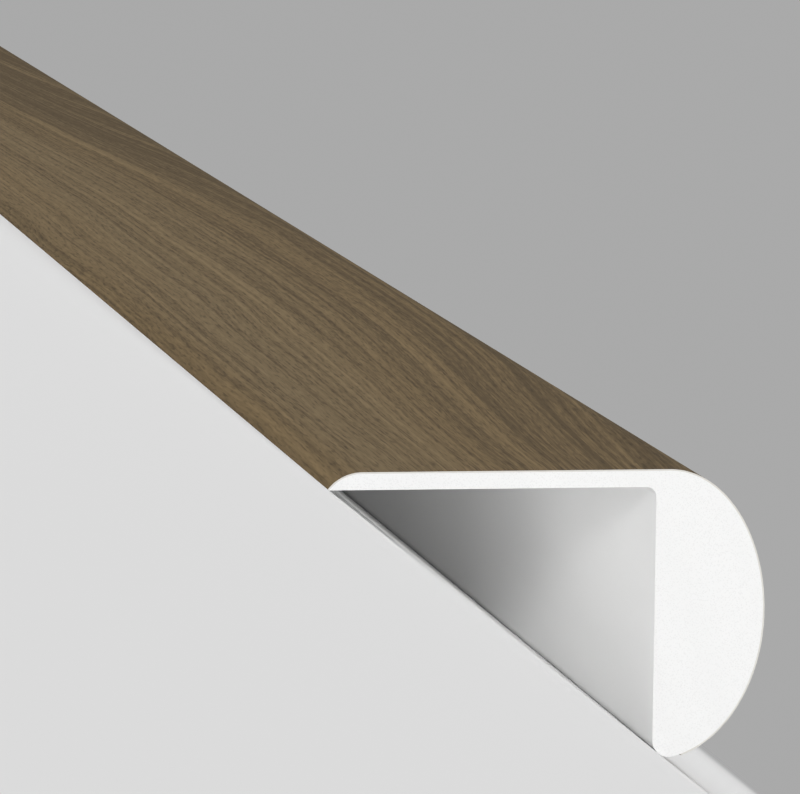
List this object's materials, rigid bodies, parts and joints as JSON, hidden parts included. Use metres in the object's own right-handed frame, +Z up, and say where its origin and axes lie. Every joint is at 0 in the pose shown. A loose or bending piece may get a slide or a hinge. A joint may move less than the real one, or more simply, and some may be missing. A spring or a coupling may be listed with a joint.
{
  "type": "stair nose moulding",
  "caption": "Overlapping stair nose moulding: a thin feathered flange with a deep bullnose, extruded in white and wrapped in wood-grain film on its show side.",
  "frame": {"origin": "on the floor, at the middle of the length and midway between the flange's tip and the nose's front", "axes": "+X along the length, -Y towards the front of the nose, +Z up, as the moulding rests on its flange's tip and its heel"},
  "size_m": [2.4, 0.0578, 0.0302],
  "materials": {
    "core_white": "matte",
    "wood_grain_film": "satin"
  },
  "bodies": {
    "root": {"core_profile": "core_white", "decor_film": "wood_grain_film"}
  },
  "joints": []
}
